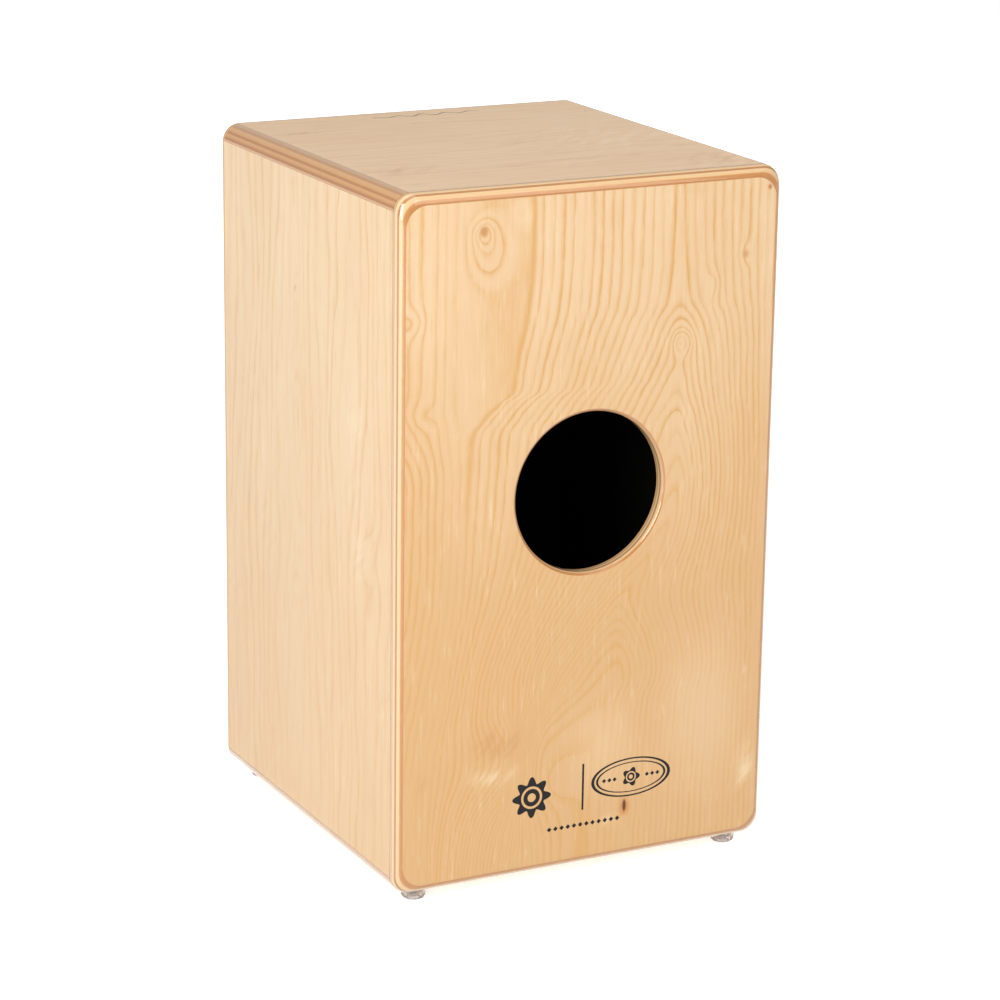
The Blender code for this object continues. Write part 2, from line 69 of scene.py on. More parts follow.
SIDES = {"left": -1, "right": 1}
ENDS = ("front", "back")


# Places, all from the CAD part
BACK_LOW, BACK_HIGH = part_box("back_panel")
SEAT_LOW, SEAT_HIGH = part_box("seat_panel")
BAR_LOW, BAR_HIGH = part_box("string_bar")
TAPA_LOW, TAPA_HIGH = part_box("tapa")
HALF_WIDTH = BACK_HIGH.x
BACK = BACK_HIGH.y
TOP = SEAT_HIGH.z
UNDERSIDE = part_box("bottom_panel")[0].z
MIDDLE_HEIGHT = (TOP + UNDERSIDE) / 2

# Back panel
CORNER_ROUND = 13 * MM
FACE_CORNER = 16 * MM  # corner radius of the flat face inside the rounded rim
RIM_DEPTH = 8 * MM
RIM_SIDE = 6.5 * MM
RIM_TOP = 9.5 * MM
RIM_BOTTOM = 7.2 * MM
HOLE_RADIUS = 57.5 * MM
HOLE_HEIGHT = UNDERSIDE + 276 * MM
HOLE_ROUND = 3 * MM
GLUE_LINE = 0.03 * MM  # what is left open between glued pieces

# Radii of the holes for the screws
FOOT_BORE = 2.05 * MM
TENSION_BORE = 2.8 * MM

# Strings, as radii: the ball at each end, the winding's crests and what lies between them
BALL = 1.9 * MM
WIRE = 0.48 * MM
CORE = 0.40 * MM
WRAP = 0.6 * MM  # from one crest of the winding to the next
BEND = 1.3 * MM

# Facets
CORNER_STEPS = 14
RIM_STEPS = 14
HOLE_SIDES = 144
HOLE_STEPS = 8
ROUND_SIDES = 48
STRING_SIDES = 8

# Studio: angles in degrees, places in metres, the lens and its sensor in millimetres
CAMERA_AZIMUTH = 152.77
CAMERA_ELEVATION = 15.957
CAMERA_DISTANCE = 2.472
CAMERA_CENTRE = (0.0, 0.001, 0.2453)  # the point that the distance is measured from
CAMERA_AIM = (-0.0057, 0.0039, 0.2399)  # the point in the middle of the picture
CAMERA_LENS = 121.4
CAMERA_SENSOR = 36.0
CAMERA_ROLL = 0.818
WORLD_STRENGTH = 0.58
FLOOR_RADIUS = 30.0
FLOOR_GLOW = 0.6
WHITE = (1.0, 1.0, 1.0, 1.0)

# Each lamp: name, azimuth, elevation, distance, width and height, watts, colour
LAMPS = (
    ("key", 134, 22, 2.8, (0.9, 2.1), 58, (1.0, 0.985, 0.96)),
    ("front_fill", 200, 30, 3.4, (1.4, 1.6), 12, (1.0, 0.98, 0.95)),
    ("overhead", 170, 78, 2.6, (1.6, 1.6), 8, (1.0, 0.95, 0.93)),
    ("room_fill", 308, 8, 3.4, (1.6, 1.2), 36, (1.0, 0.97, 0.94)),
)


# Materials


def linear(red, green, blue):
    """A colour given as it looks on a screen, 0 to 255, in the shader's own scale."""
    parts = [c / 255 for c in (red, green, blue)]
    parts = [c / 12.92 if c <= 0.04045 else ((c + 0.055) / 1.055) ** 2.4 for c in parts]
    return (*parts, 1.0)


class Value:
    """A number that changes over a surface. Arithmetic on it adds Math nodes to its material."""

    def __init__(self, tree, socket):
        self.tree = tree
        self.socket = socket

    def math(self, operation, *others):
        node = self.tree.nodes.new("ShaderNodeMath")
        node.operation = operation
        for slot, operand in zip(node.inputs, (self, *others)):
            plug(operand, slot)
        return Value(self.tree, node.outputs[0])

    def __add__(self, other):
        return self.math("ADD", other)

    def __sub__(self, other):
        return self.math("SUBTRACT", other)

    def __rsub__(self, other):
        return self.math("MULTIPLY_ADD", -1.0, other)

    def __mul__(self, other):
        return self.math("MULTIPLY", other)

    def __truediv__(self, other):
        return self.math("DIVIDE", other)

    def __pow__(self, power):
        return self.math("POWER", power)

    def __abs__(self):
        return self.math("ABSOLUTE")

    __radd__ = __add__


def plug(operand, socket):
    """Links a value to a socket, or sets a plain number or colour on it."""
    if isinstance(operand, Value):
        operand.tree.links.new(operand.socket, socket)
    else:
        socket.default_value = operand


def smooth(value, low, high):
    """0 below low, 1 above high, and a smooth step between them."""
    node = value.tree.nodes.new("ShaderNodeMapRange")
    node.interpolation_type = "SMOOTHSTEP"
    for slot, operand in zip(node.inputs, (value, low, high, 0.0, 1.0)):
        plug(operand, slot)
    return Value(value.tree, node.outputs[0])


def bell(value, power=2.0):
    """1 where the value is 0, falling off on both sides."""
    return ((abs(value) ** power) * -1.0).math("EXPONENT")


def curve(value, points):
    """A smooth curve through given (where, height) points."""
    tree = value.tree
    wheres, heights = zip(*points)
    low, high = min(wheres), max(wheres)
    floor, ceiling = min(heights), max(heights)
    node = tree.nodes.new("ShaderNodeFloatCurve")
    mapped = node.mapping.curves[0].points
    shares = sorted(((w - low) / (high - low), (h - floor) / (ceiling - floor)) for w, h in points)
    while len(mapped) < len(shares):
        mapped.new(0.5, 0.5)
    for point, (where, height) in zip(mapped, shares):
        point.location = (where, height)
        point.handle_type = "AUTO_CLAMPED"
    node.mapping.update()
    plug((value - low) * (1 / (high - low)), node.inputs["Value"])
    return Value(tree, node.outputs[0]) * (ceiling - floor) + floor


def noise(place, scales, detail=2.0, roughness=0.5):
    """Smooth noise around 0, from about -1 to 1. Place is (x, y, z) and scales are per metre."""
    tree = place[0].tree
    joined = tree.nodes.new("ShaderNodeCombineXYZ")
    for slot, part, scale in zip(joined.inputs, place, scales):
        plug(part * scale, slot)
    node = tree.nodes.new("ShaderNodeTexNoise")
    node.inputs["Scale"].default_value = 1.0
    node.inputs["Detail"].default_value = detail
    node.inputs["Roughness"].default_value = roughness
    tree.links.new(joined.outputs[0], node.inputs["Vector"])
    return Value(tree, node.outputs[0]) * 2.0 - 1.0


def random_step(value):
    """A random number from 0 to 1 for each whole number that the value passes."""
    node = value.tree.nodes.new("ShaderNodeTexWhiteNoise")
    node.noise_dimensions = "1D"
    plug(value.math("FLOOR"), node.inputs["W"])
    return Value(value.tree, node.outputs["Value"])


def ramp(value, stops):
    """A number or colour read off a row of (place, what) stops, with places from 0 to 1."""
    node = value.tree.nodes.new("ShaderNodeValToRGB")
    elements = node.color_ramp.elements
    while len(elements) < len(stops):
        elements.new(0.5)
    for element, (where, what) in zip(elements, stops):
        element.position = where
        element.color = what if isinstance(what, tuple) else (what, what, what, 1.0)
    plug(value, node.inputs["Fac"])
    return Value(value.tree, node.outputs["Color"])


def mixed(share, first, second):
    """Two colours mixed by a share from 0 to 1."""
    node = share.tree.nodes.new("ShaderNodeMix")
    node.data_type = "RGBA"
    colours = [socket for socket in node.inputs if socket.type == "RGBA"]
    plug(share, node.inputs["Factor"])
    plug(first, colours[0])
    plug(second, colours[1])
    return Value(share.tree, [socket for socket in node.outputs if socket.type == "RGBA"][0])


def new_material(name):
    """A new material, its shader and the place on the piece as three values."""
    made = bpy.data.materials.new(name)
    made.use_nodes = True
    tree = made.node_tree
    coordinates = tree.nodes.new("ShaderNodeTexCoord")
    split = tree.nodes.new("ShaderNodeSeparateXYZ")
    tree.links.new(coordinates.outputs["Object"], split.inputs[0])
    place = [Value(tree, output) for output in split.outputs]
    return made, tree.nodes["Principled BSDF"], place


def relief(shader, height, distance):
    """Bump from a height of about 0 to 1, which stands for this distance in metres."""
    tree = height.tree
    node = tree.nodes.new("ShaderNodeBump")
    node.inputs["Distance"].default_value = distance
    plug(height, node.inputs["Height"])
    tree.links.new(node.outputs[0], shader.inputs["Normal"])


def bump(across, along, centre, reach, height):
    """A round rise to this height, with its centre and its reach in millimetres."""
    shape = ((across - centre[0]) / reach[0]) ** 2.0 + ((along - centre[1]) / reach[1]) ** 2.0
    return (shape * -1.0).math("EXPONENT") * height


def round_drop(share, rounding):
    """0 at the crest and 1 at a share of 1, with a crest that is pointed for a small rounding."""
    whole = share * 0.0 + 1.0

    def height(of):
        return (of * of + rounding * rounding).math("SQRT") - rounding

    return height(share) / height(whole)


def back_rings(across, along):
    """Growth rings of the back panel's veneer, as ring numbers. Across is millimetres to the
    right of the middle as seen from behind, and along is the height in millimetres. The rings
    rise from a boundary on the left to a crest, whose nested arches point up, and fall again
    towards the right edge."""
    across = across + noise((across, along, along), (0.02, 0.006, 0.0)) * 2.8
    across = across + noise((across, along, along), (0.10, 0.030, 0.0)) * 1.1
    across = across + noise((across, along, along), (0.16, 0.085, 0.0)) * 0.7
    along = along + noise((across, along, across), (0.07, 0.03, 0.0)) * 1.6
    crest = curve(along, [
        (11, 0), (92, 4), (127, 13), (155, 25), (188, 24), (209, 31), (227, 43), (246, 56),
        (265, 64), (296, 69), (350, 67), (385, 70), (419, 68), (496, 66), (510, 66),
    ])
    boundary = curve(along, [
        (11, -123), (73, -121), (111, -118), (150, -110), (188, -103), (227, -97), (304, -94),
        (331, -93), (342, -86), (356, -71), (363, -61), (381, -58), (419, -50), (458, -47),
        (510, -48),
    ])
    crest_rings = curve(along, [
        (11, 33), (92, 33), (127, 32), (156, 31), (169, 30), (180, 29), (188, 28), (198, 27),
        (209, 26), (231, 25), (329, 20.5), (342, 19.5), (369, 18), (400, 16), (419, 14.6), (510, 14),
    ])
    left_share = ((crest - across) / (crest - boundary)).math("MAXIMUM", 0.0).math("MINIMUM", 1.0)
    waist = bell((along - 98.0) * (1 / 42)) * 0.55
    left_share = left_share * (1.0 - waist) + smooth(left_share, 0.28, 0.58) * waist
    right_edge = 142.0
    right_share = ((across - crest) / (right_edge - crest)).math("MAXIMUM", 0.0)
    left_rounding = 0.05 + (1.0 - smooth(along, 110, 205)) * 0.5
    right_rounding = 0.06
    rings = crest_rings * (1.0 - round_drop(left_share, left_rounding))
    rings_at_right_edge = 4.0
    right_fall = crest_rings - rings_at_right_edge
    rings = rings - right_fall * round_drop(right_share, right_rounding)
    beyond = (boundary - across).math("MAXIMUM", 0.0)
    few = curve(across, [
        (-150, -5.8), (-142, -5.2), (-130, -4), (-119, -3), (-113, -2), (-105, -1), (-96, -0.45),
        (-46, 0), (150, 0),
    ])
    upper = smooth(along, 300, 356)
    even_spacing = 5.8
    rings = rings + few * smooth(beyond, 0, 8) * upper
    rings = rings - beyond * (1.0 - upper) * (1 / even_spacing)
    features = (
        ("ringed knot", (-85, 474), (8, 9), 2.4),
        ("its outer rings", (-82, 462), (14, 19), 2.1),
        ("lobe beside the knot", (-57, 486), (6, 8), 0.6),
        ("eye", (70, 384.5), (8, 9), 2.6),
        ("hook", (94, 424), (6, 9), 1.0),
        ("notch at the left edge", (-139, 417), (9, 9), -1.2),
        ("steps at the left edge", (-130, 352), (10, 10), 0.8),
        ("small figure", (119, 443), (5, 8), -0.9),
        ("lowest arch", (-22, 74), (13, 16), 1.2),
        ("dark knot", (33, 47), (5, 9), 1.4),
    )
    for _, centre, size, height in features:
        rings = rings + bump(across, along, centre, size, height)
    band = bell((across - boundary) * 0.45) * smooth(along, 250, 330)
    return rings, band


def plain_rings(across, along, spacing, features, seed):
    """Growth rings of a calmer veneer: nearly straight, with a few named figures."""
    sway = noise((across, along, along), (0.012, 0.0035, 0.0), 2.0)
    across = across + sway * (2.2 * spacing) + seed
    fine = noise((across, along, along), (0.08, 0.02, 0.0))
    rings = across * (1 / spacing) + fine * 0.35
    rings = rings + noise((across, along, along), (0.018, 0.0022, 0.0)) * 2.2
    for _, centre, size, height in features:
        rings = rings + bump(across - seed, along, centre, size, height)
    return rings, across * 0.0


INK = linear(14, 13, 15)
# Near-black of the inside faces and the inner wood: painted shade, so the inside reads dark through the
# sound hole
PAINTED_SHADE_DARK = linear(13, 11, 10)
PAINTED_SHADE_PALE = linear(26, 22, 20)

# How dark a growth ring is from its start to its end
LINE_PROFILE = [
    (0.0, 0.6), (0.12, 0.2), (0.34, 0.0), (0.6, 0.1), (0.82, 0.55), (0.95, 1.0), (1.0, 0.9),
]


def veneer_colour(board, rings, band, fibres, height_share, look):
    """The face of a board. Board is the place across the grain, along it and into the wood, in
    millimetres. In a look, spots are patches broken up by the ripple, some of them painted highlights of
    the grain's sheen, and marks are whole ones such as knots."""
    across, along, depth = board
    patches = noise((across, along, along), (0.02, 0.006, 0.0)) * 0.5 + 0.5
    bundles = noise(board, (0.42, 0.02, 0.3), 4.0, 0.65)
    mottle = noise(board, (0.11, 0.05, 0.0), 3.0, 0.6)
    cloud = noise(board, (0.014, 0.005, 0.0), 2.0)
    flecks = noise(board, (2.2, 0.2, 0.4), 2.0)
    dark_flecks = smooth(flecks, 0.22, 0.7)
    pale_flecks = smooth(flecks, -0.22, -0.7)

    # The wavy grain's figure, with its shimmer painted in as a sheen of lighter and darker bands
    ripple = noise((along - across, along + across, depth), (0.085, 0.022, 0.0), 2.0)
    ripple_patches = smooth(noise(board, (0.016, 0.011, 0.0), 1.0), 0.05, 0.55)
    painted_sheen = ripple * ripple_patches * look["painted_sheen"]

    # Growth rings on the ground tone
    # The ground tone gets darker towards the bottom: partly the veneer's own tone and partly painted shade
    tone = cloud * 0.28 + 0.4 + (1.0 - height_share) * look["lower_tone_and_shade"]
    veneer = mixed(smooth(tone, 0.0, 1.0), look["pale"], look["tan"])
    line = ramp(rings.math("FRACT"), LINE_PROFILE)
    strength = random_step(rings)
    line = line * (strength * 0.8 + 0.25) * (patches * 1.2 + 0.45) * look["contrast"]
    line = line * (bundles * 0.7 + mottle * 0.5 + 0.85)
    veneer = mixed(line, veneer, look["line"])
    veneer = mixed(band * (patches * 0.5 + 0.5), veneer, look["line"])

    # Fibres, darker and lighter, with the painted sheen of the wavy grain in both
    darker = fibres * 0.5 + bundles * 1.0 + mottle * 0.4 + painted_sheen * -1.6 + dark_flecks * 0.6
    veneer = mixed(smooth(darker, 0.0, 1.15), veneer, look["fibre"])
    lighter = painted_sheen * 1.5 + fibres * -0.3 + bundles * -0.9 + mottle * -0.4 + pale_flecks * 0.5
    veneer = mixed(smooth(lighter, 0.05, 1.15), veneer, look["glow"])

    # Figures placed one by one
    # Some of the spots are painted highlights of the wavy grain's sheen
    for _, centre, size, colour, amount in look["spots"]:
        spot = bump(across, along, centre, size, amount) * (fibres * 0.4 + ripple * 1.4 + 0.65)
        veneer = mixed(smooth(spot, 0.0, 1.0), veneer, colour)
    for _, centre, size, colour, amount in look["marks"]:
        mark = bump(across, along, centre, size, amount) * (fibres * 0.2 + 0.95)
        veneer = mixed(smooth(mark, 0.0, 1.0), veneer, colour)
    return veneer


def ply_colour(board, thickness, look):
    """The plies, seen on the rim and on the edges, with streaks that run along them."""
    across, along, depth = board
    long_way = across + along
    streaks = noise((depth, long_way, long_way), (2.6, 0.035, 0.0), 4.0, 0.65)
    dashes = noise((depth, long_way, long_way), (4.5, 0.11, 0.0), 3.0, 0.6)
    layer = (depth + streaks * 0.12) / thickness
    ply = ramp(layer, look["plies"])
    ply = mixed(smooth(streaks, 0.05, 0.9) * 0.55, ply, look["ply_dark"])
    ply = mixed(smooth(dashes, 0.05, 0.7) * 0.4, ply, look["ply_pale"])
    return mixed(smooth(dashes, -0.05, -0.7) * 0.5, ply, look["ply_dark"])


def birch(name, axes, outer, inward, thickness, rings_of, look, ink=None):
    """Lacquered birch plywood. Axes are the indices across the grain, along it and through the
    board, outer is the place of its outer face, inward the direction into the wood, and thickness
    is in millimetres."""
    made, shader, place = new_material(name)
    across_axis, along_axis, depth_axis = axes
    across = place[across_axis] * (look["mirror"] / MM)
    along = place[along_axis] * (1 / MM)
    depth = (place[depth_axis] - outer) * (inward / MM)
    board = (across, along, depth)
    rim = smooth(depth, 0.07, 0.16)
    inside = smooth(depth, thickness - 0.12, thickness - 0.05)
    fibres = noise(board, (1.5, 0.03, 0.4), 3.0, 0.6)

    rings, band = rings_of(across, along)
    height_share = smooth(place[2], UNDERSIDE, TOP)
    veneer = veneer_colour(board, rings, band, fibres, height_share, look)
    if ink is not None:
        printed = ink(across, along) * (1.0 - smooth(fibres, 0.6, 0.95) * 0.12)
        veneer = mixed(printed, veneer, INK)
    colour = mixed(rim, veneer, ply_colour(board, thickness, look))

    # The inside is coloured near-black: painted shade that keeps it dark through the sound hole
    stain = mixed(smooth(fibres, -0.5, 1.0), PAINTED_SHADE_DARK, PAINTED_SHADE_PALE)
    colour = mixed(inside, colour, stain)
    plug(colour, shader.inputs["Base Color"])

    # Lacquer, fullest on the rim and the edges and thin on the print
    edges = rim * (1.0 - inside)
    gloss = noise(board, (0.5, 0.12, 0.2), 3.0)
    roughness = gloss * 0.05 + (look["roughness"] + inside * 0.35) + fibres * 0.04
    plug(roughness - edges * 0.12, shader.inputs["Roughness"])
    coat = edges * (1.0 - look["coat"]) + look["coat"]
    if ink is not None:
        coat = coat * (1.0 - printed * 0.8)
    plug(coat, shader.inputs["Coat Weight"])
    shader.inputs["Coat Roughness"].default_value = 0.07
    shader.inputs["Coat IOR"].default_value = 1.75
    shader.inputs["Specular IOR Level"].default_value = 0.2
    orange_peel = noise(board, (0.22, 0.16, 0.2), 1.0)
    relief(shader, fibres * 0.3 + orange_peel * 0.3, 0.012 * MM)
    return made


PLIES_BACK = [
    (0.0, linear(190, 126, 64)),
    (0.11, linear(206, 142, 78)),
    (0.145, linear(236, 196, 144)),
    (0.30, linear(240, 206, 158)),
    (0.345, linear(184, 128, 80)),
    (0.46, linear(196, 142, 92)),
    (0.50, linear(240, 207, 162)),
    (0.70, linear(238, 203, 155)),
    (0.74, linear(206, 158, 108)),
    (0.86, linear(214, 166, 114)),
    (0.90, linear(238, 200, 150)),
    (1.0, linear(212, 150, 88)),
]
PLIES_PANEL = [
    (0.0, linear(214, 172, 126)),
    (0.08, linear(206, 160, 110)),
    (0.11, linear(196, 142, 90)),
    (0.16, linear(200, 146, 92)),
    (0.20, linear(224, 172, 114)),
    (0.36, linear(214, 160, 102)),
    (0.40, linear(188, 126, 70)),
    (0.50, linear(192, 132, 76)),
    (0.54, linear(220, 166, 106)),
    (0.70, linear(204, 148, 90)),
    (0.76, linear(182, 118, 62)),
    (0.88, linear(192, 130, 74)),
    (0.92, linear(216, 164, 110)),
    (1.0, linear(206, 152, 98)),
]
BIRCH_LOOK = {
    "mirror": 1,
    "pale": linear(246, 220, 182),
    "tan": linear(233, 194, 144),
    "line": linear(220, 166, 94),
    "fibre": linear(218, 178, 128),
    "glow": linear(250, 228, 192),
    "contrast": 1.0,
    "painted_sheen": 0.5,
    "lower_tone_and_shade": 0.35,
    "plies": PLIES_PANEL,
    "ply_dark": linear(172, 112, 62),
    "ply_pale": linear(240, 204, 158),
    "roughness": 0.34,
    "coat": 0.32,
    "spots": (),
    "marks": (),
}


# The printed ornament: plain geometric marks


def rosette(across, along, centre, radius, petals):
    """A solid flower with a round eye, in millimetres."""
    right = across - centre[0]
    up = along - centre[1]
    distance = (right * right + up * up).math("SQRT")
    turn = up.math("ARCTAN2", right)
    edge = (turn * petals).math("COSINE") * (radius * 0.16) + radius * 0.84
    petal = smooth(edge - distance, 0.0, 0.25)
    eye = smooth(distance - radius * 0.2, 0.0, 0.25)
    ring = smooth(abs(distance - radius * 0.48) - radius * 0.05, 0.0, 0.25)
    return petal * eye * ring


def oval(across, along, centre, size, width):
    """An oval line whose half sizes and width are in millimetres."""
    right = (across - centre[0]) / size[0]
    up = (along - centre[1]) / size[1]
    distance = (right * right + up * up).math("SQRT")
    return 1.0 - smooth(abs(distance - 1.0) * size[1] - width / 2, 0.0, 0.25)


def bar(across, along, low, high):
    """A filled upright rectangle."""
    inside = smooth(across - low[0], 0.0, 0.2) * smooth(high[0] - across, 0.0, 0.2)
    return inside * smooth(along - low[1], 0.0, 0.2) * smooth(high[1] - along, 0.0, 0.2)


def diamonds(across, along, low, high, pitch):
    """A row of small diamonds between two places."""
    middle = (low[1] + high[1]) / 2
    half = (high[1] - low[1]) / 2
    share = ((across - low[0]) / pitch).math("FRACT") - 0.5
    shape = abs(share) * (pitch / half) + abs(along - middle) / half
    row = bar(across, along, low, high)
    return smooth(1.0 - shape, 0.0, 0.12) * row


def back_ornament(across, along):
    """A rosette, a thin rule, an oval with a small star in it, and a row of diamonds."""
    marks = [
        rosette(across, along, (-42, 66), 15.5, 8.0),
        bar(across, along, (-1.9, 50), (-0.1, 85)),
        oval(across, along, (38, 69), (31, 14), 0.9),
        oval(across, along, (38, 69), (27.5, 11), 0.5),
        rosette(across, along, (38, 69), 7.5, 5.0),
        diamonds(across, along, (14, 67.2), (27, 70.8), 4.3),
        diamonds(across, along, (49, 67.2), (62, 70.8), 4.3),
        diamonds(across, along, (-30, 37.2), (30, 41.2), 5.0),
    ]
    ink = marks[0]
    for mark in marks[1:]:
        ink = ink.math("MAXIMUM", mark)
    return ink


def seat_ornament(across, along):
    """A thin drawn wave that swells in the middle, near the playing face."""
    middle = (-129.0, -8.0)
    half_length = 46.0
    swing = 3.2
    share = (along - middle[1]) / half_length
    inside = 1.0 - smooth(abs(share), 0.9, 1.0)
    wave = (along * 0.32).math("SINE") * (bell(share) * swing)
    width = bell(share) * 0.5 + 0.12
    line = 1.0 - smooth(abs(across - middle[0] - wave) - width, 0.0, 0.3)
    return line * inside


def make_birch_materials():
    """The wood of each board."""
    back = dict(
        BIRCH_LOOK,
        mirror=-1, plies=PLIES_BACK, ply_dark=linear(190, 128, 70), lower_tone_and_shade=0.75,
        contrast=1.05, pale=linear(242, 214, 176), tan=linear(225, 180, 126),
        # The shine spots are highlights of the wavy grain's sheen, painted into the colour; the ripples
        # spot is the wavy figure with the darker bands of that sheen painted in
        spots=[
            ("tan patch at the top", (80, 492), (9, 9), linear(226, 184, 130), 0.5),
            ("shine left of the knot", (22, 38), (9, 5), linear(248, 222, 180), 0.7),
            ("ripples", (-70, 108), (22, 16), linear(212, 158, 98), 0.8),
            ("shine in the ripples", (-74, 88), (18, 9), linear(250, 226, 186), 0.7),
            ("dark streak at lower left", (-129, 88), (8, 14), linear(214, 166, 110), 0.5),
            ("shine at lower right", (132, 62), (9, 22), linear(250, 226, 186), 0.6),
        ],
        marks=[
            ("pale field under the arches", (14, 96), (34, 44), linear(242, 208, 166), 0.5),
            ("pale lower right", (96, 110), (44, 80), linear(242, 210, 170), 0.5),
            ("heart of the ringed knot", (-85.0, 475.0), (3.0, 3.6), linear(206, 150, 96), 1.3),
            ("halo of the dark knot", (33, 47), (4.5, 7.0), linear(214, 146, 80), 1.1),
            ("dark knot", (33, 48), (1.1, 3.4), linear(96, 50, 22), 2.6),
            ("small figure", (119, 443), (3.0, 3.6), linear(206, 150, 92), 0.8),
            ("pin knot", (137, 489), (1.6, 1.8), linear(190, 130, 74), 1.2),
        ],
    )
    side_features = (
        ("tongue from the seat", (-21, 500), (7, 30), 1.6),
        ("spot", (-18, 408), (6, 12), 0.9),
        ("nested arches", (-20, 318), (11, 48), 2.6),
        ("patch", (-18, 196), (12, 20), 1.0),
        ("ripple", (110, 245), (12, 18), 0.9),
    )
    side = dict(
        BIRCH_LOOK, contrast=0.75, painted_sheen=0.7, line=linear(230, 182, 120),
        # The shine spots are highlights of the wavy grain's sheen, painted into the colour
        spots=[
            ("tongue", (-21, 480), (4.5, 16), linear(232, 192, 136), 0.6),
            ("spot", (-18, 408), (3, 4), linear(214, 172, 122), 0.6),
            ("shine", (82, 335), (18, 26), linear(250, 228, 192), 0.5),
            ("short dark streak", (102, 335), (3, 7), linear(206, 160, 108), 0.6),
            ("ripple streak", (113, 244), (7, 22), linear(216, 172, 118), 0.5),
            ("shine by the streak", (92, 240), (14, 22), linear(250, 228, 192), 0.5),
            ("patch", (-18, 196), (6, 9), linear(224, 182, 130), 0.5),
        ],
    )
    seat = dict(
        BIRCH_LOOK, lower_tone_and_shade=0.0, contrast=0.3, painted_sheen=0.4,
        pale=linear(246, 219, 187), tan=linear(236, 198, 156), line=linear(216, 172, 126),
        fibre=linear(210, 170, 128), roughness=0.48, coat=0.08,
        spots=[
            # The satin glow is a painted highlight of the lacquer's sheen
            ("painted satin highlight", (11, -78), (60, 70), linear(255, 236, 210), 0.4),
            ("tan end", (120, -120), (34, 44), linear(214, 172, 128), 0.5),
            ("dark streaks", (69, 108), (18, 34), linear(204, 162, 120), 0.4),
            ("dark streak", (-90, 112), (6, 28), linear(196, 152, 110), 0.5),
        ],
    )
    tapa = dict(
        BIRCH_LOOK, lower_tone_and_shade=0.2, contrast=0.95, painted_sheen=0.8,
        pale=linear(246, 218, 176), tan=linear(235, 194, 142), line=linear(208, 154, 94),
        plies=[
            (0.0, linear(214, 162, 106)),
            (0.30, linear(220, 170, 112)),
            (0.36, linear(168, 112, 66)),
            (0.64, linear(176, 120, 72)),
            (0.70, linear(226, 178, 122)),
            (1.0, linear(220, 170, 112)),
        ],
        spots=[("burl", (20, 300), (26, 60), linear(212, 164, 106), 0.4)],
    )
    tapa_features = (
        ("flame", (10, 120), (26, 190), 9.0),
        ("eye", (-60, 330), (12, 26), 2.5),
        ("second flame", (72, 420), (18, 120), 4.0),
    )
    panel = (SEAT_HIGH.z - SEAT_LOW.z) / MM
    woods = {
        "back_panel": birch(
            "birch_back", (0, 2, 1), BACK, -1, (BACK - BACK_LOW.y) / MM,
            back_rings, back, back_ornament,
        ),
        "seat_panel": birch(
            "birch_seat", (1, 0, 2), TOP, -1, panel,
            lambda across, along: plain_rings(across, along, 13.0, (), 40.0), seat, seat_ornament,
        ),
        "bottom_panel": birch(
            "birch_bottom", (1, 0, 2), UNDERSIDE, 1, panel,
            lambda across, along: plain_rings(across, along, 11.0, (), 210.0), BIRCH_LOOK,
        ),
        "tapa": birch(
            "birch_tapa", (0, 2, 1), TAPA_LOW.y, 1, (TAPA_HIGH.y - TAPA_LOW.y) / MM,
            lambda across, along: plain_rings(across, along, 9.0, tapa_features, 77.0), tapa,
        ),
    }
    for name, sign in SIDES.items():
        woods[f"{name}_side_panel"] = birch(
            f"birch_{name}_side", (1, 2, 0), sign * HALF_WIDTH, -sign, panel,
            lambda across, along: plain_rings(across * sign, along, 13.0, side_features, 0.0), side,
        )
    return woods


def painted_shade_wood():
    """The softwood inside, near-black like the panels' inner faces: painted shade that keeps the inside
    dark through the sound hole.
    """
    made, shader, place = new_material("painted_shade_softwood")
    lengthwise = noise(place, (60.0, 900.0, 900.0), 3.0, 0.6)
    pores = noise(place, (900.0, 2500.0, 2500.0), 1.0)
    colour = mixed(smooth(lengthwise, -0.6, 0.9), linear(14, 12, 11), linear(44, 36, 30))
    colour = mixed(smooth(pores, 0.3, 0.8) * 0.4, colour, linear(70, 56, 44))
    plug(colour, shader.inputs["Base Color"])
    plug(lengthwise * 0.08 + 0.66, shader.inputs["Roughness"])
    relief(shader, lengthwise, 0.05 * MM)
    return made


def bumper_plastic():
    """Translucent grey-brown bumper with a faint swirl from moulding."""
    made, shader, place = new_material("translucent_bumper")
    swirl = noise(place, (240.0, 240.0, 420.0), 2.0)
    dust = noise(place, (2600.0, 2600.0, 2600.0), 1.0)
    colour = mixed(smooth(swirl, -0.8, 0.9), linear(214, 200, 192), linear(244, 236, 230))
    plug(colour, shader.inputs["Base Color"])
    plug(swirl * 0.05 + 0.14 + smooth(dust, 0.35, 0.8) * 0.2, shader.inputs["Roughness"])
    shader.inputs["Transmission Weight"].default_value = 0.72
    shader.inputs["IOR"].default_value = 1.46
    relief(shader, swirl, 0.03 * MM)
    return made


def metal(name, dark, light, roughness, brushed=(900.0, 900.0, 60.0), speck=None):
    """A metal with fine brushing, slow stains and small specks."""
    made, shader, place = new_material(name)
    brushing = noise(place, brushed, 3.0, 0.6)
    stain = noise(place, (190.0, 190.0, 190.0), 3.0)
    specks = smooth(noise(place, (2800.0, 2800.0, 2800.0), 1.0), 0.38, 0.7)
    colour = mixed(smooth(stain + brushing * 0.4, -0.8, 0.9), dark, light)
    if speck is not None:
        colour = mixed(specks * 0.6, colour, speck)
    plug(colour, shader.inputs["Base Color"])
    finish = brushing * 0.07 + stain * 0.06 + roughness
    plug(finish + specks * 0.12, shader.inputs["Roughness"])
    shader.inputs["Metallic"].default_value = 1.0
    relief(shader, brushing, 0.01 * MM)
    return made


# Meshes


